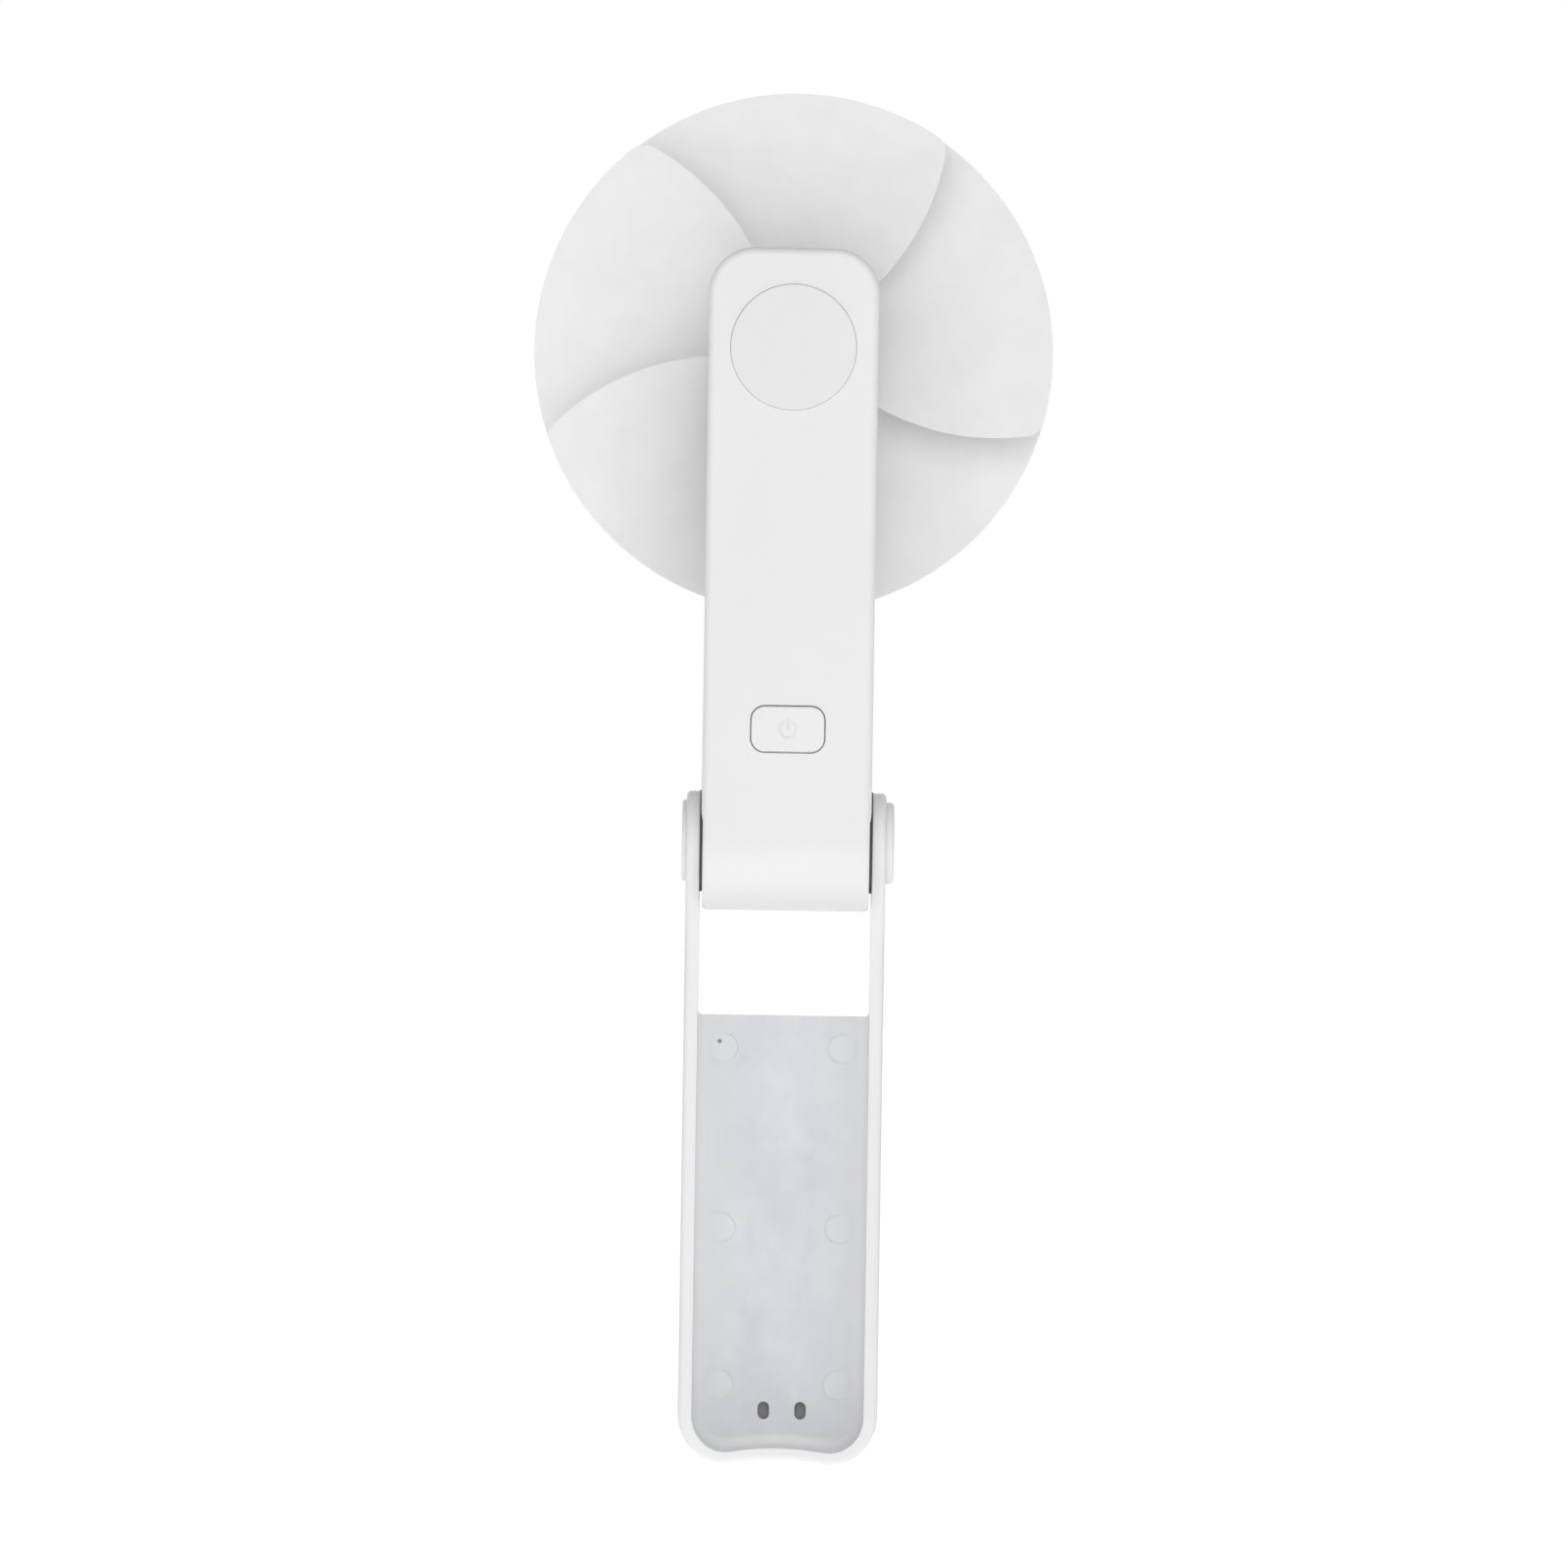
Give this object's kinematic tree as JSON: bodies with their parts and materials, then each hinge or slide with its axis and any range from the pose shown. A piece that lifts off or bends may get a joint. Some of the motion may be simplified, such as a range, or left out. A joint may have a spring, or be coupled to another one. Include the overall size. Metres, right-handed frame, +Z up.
{
  "type": "handheld electric fan",
  "caption": "Slim battery fan with an open rotor and a push button, on a flip cover that opens into a handle and folds over the casing.",
  "frame": {"origin": "on the hinge axis, midway between the flip cover's two arms", "axes": "+Z up the casing towards the rotor, +Y the way the air blows, +X to the right seen from behind the fan, from the button's side"},
  "size_m": [0.0988, 0.0398, 0.2602],
  "materials": {
    "shell_white": "fine satin",
    "cap_white": "fine satin",
    "button_white": "satin",
    "cover_white": "fine satin",
    "hinge_cap_white": "soft gloss",
    "blade_white": "satin",
    "hub_white": "soft gloss",
    "steel": "plated",
    "motor_steel": "zinc plated",
    "laminations": "varnished",
    "magnet": "sintered",
    "copper": "enamelled wire",
    "bearing_bronze": "sintered",
    "hinge_acetal": "low friction",
    "insert_grey": "satin",
    "washer_grey": "low friction",
    "cell_wrap": "shrink wrap",
    "nickel": "plated strip",
    "board_green": "solder mask",
    "part_black": "moulded",
    "lead_red": "insulation",
    "lead_black": "insulation"
  },
  "bodies": {
    "casing": {"front_shell": "shell_white", "rear_shell": "shell_white", "motor_cap": "cap_white", "shell_screws": "steel", "motor_can": "motor_steel", "motor_end_plate": "motor_steel", "front_bush": "bearing_bronze", "rear_bush": "bearing_bronze", "stator_core": "laminations", "stator_coils": "copper", "motor_screws": "steel", "battery_cell": "cell_wrap", "battery_tabs": "nickel", "battery_lead_red": "lead_red", "battery_lead_black": "lead_black", "motor_leads": "lead_black", "control_board": "board_green", "board_parts": "part_black", "board_screws": "steel", "switch_body": "part_black", "charging_socket": "nickel", "socket_tongue": "part_black", "left_hinge_bush": "hinge_acetal", "right_hinge_bush": "hinge_acetal"},
    "cover": {"flip_cover": "cover_white", "lanyard_insert": "insert_grey", "left_hinge_pin": "steel", "right_hinge_pin": "steel", "left_pin_clip": "steel", "right_pin_clip": "steel", "left_washer": "washer_grey", "right_washer": "washer_grey", "left_hinge_cap": "hinge_cap_white", "right_hinge_cap": "hinge_cap_white"},
    "rotor": {"motor_shaft": "steel", "shaft_clip": "steel", "rotor_magnet": "magnet", "rotor_hub": "hub_white", "hub_cap": "hub_white", "blade_1": "blade_white", "blade_2": "blade_white", "blade_3": "blade_white", "blade_4": "blade_white", "blade_5": "blade_white"},
    "button": {"power_button": "button_white", "switch_plunger": "part_black"}
  },
  "joints": [
    {"name": "rotor_spin", "type": "hinge", "parent": "casing", "child": "rotor", "pos_m": [0, 0, 0.093], "axis": [0, 1, 0], "continuous": true},
    {"name": "cover_hinge", "type": "hinge", "parent": "casing", "child": "cover", "pos_m": [0, 0, 0], "axis": [-1, 0, 0], "range_deg": [0, 180]},
    {"name": "button_press", "type": "slide", "parent": "casing", "child": "button", "axis": [0, 1, 0], "range_m": [0, 0.0004], "stiffness_N_per_m": 3000, "springref_m": -0.0002}
  ]
}
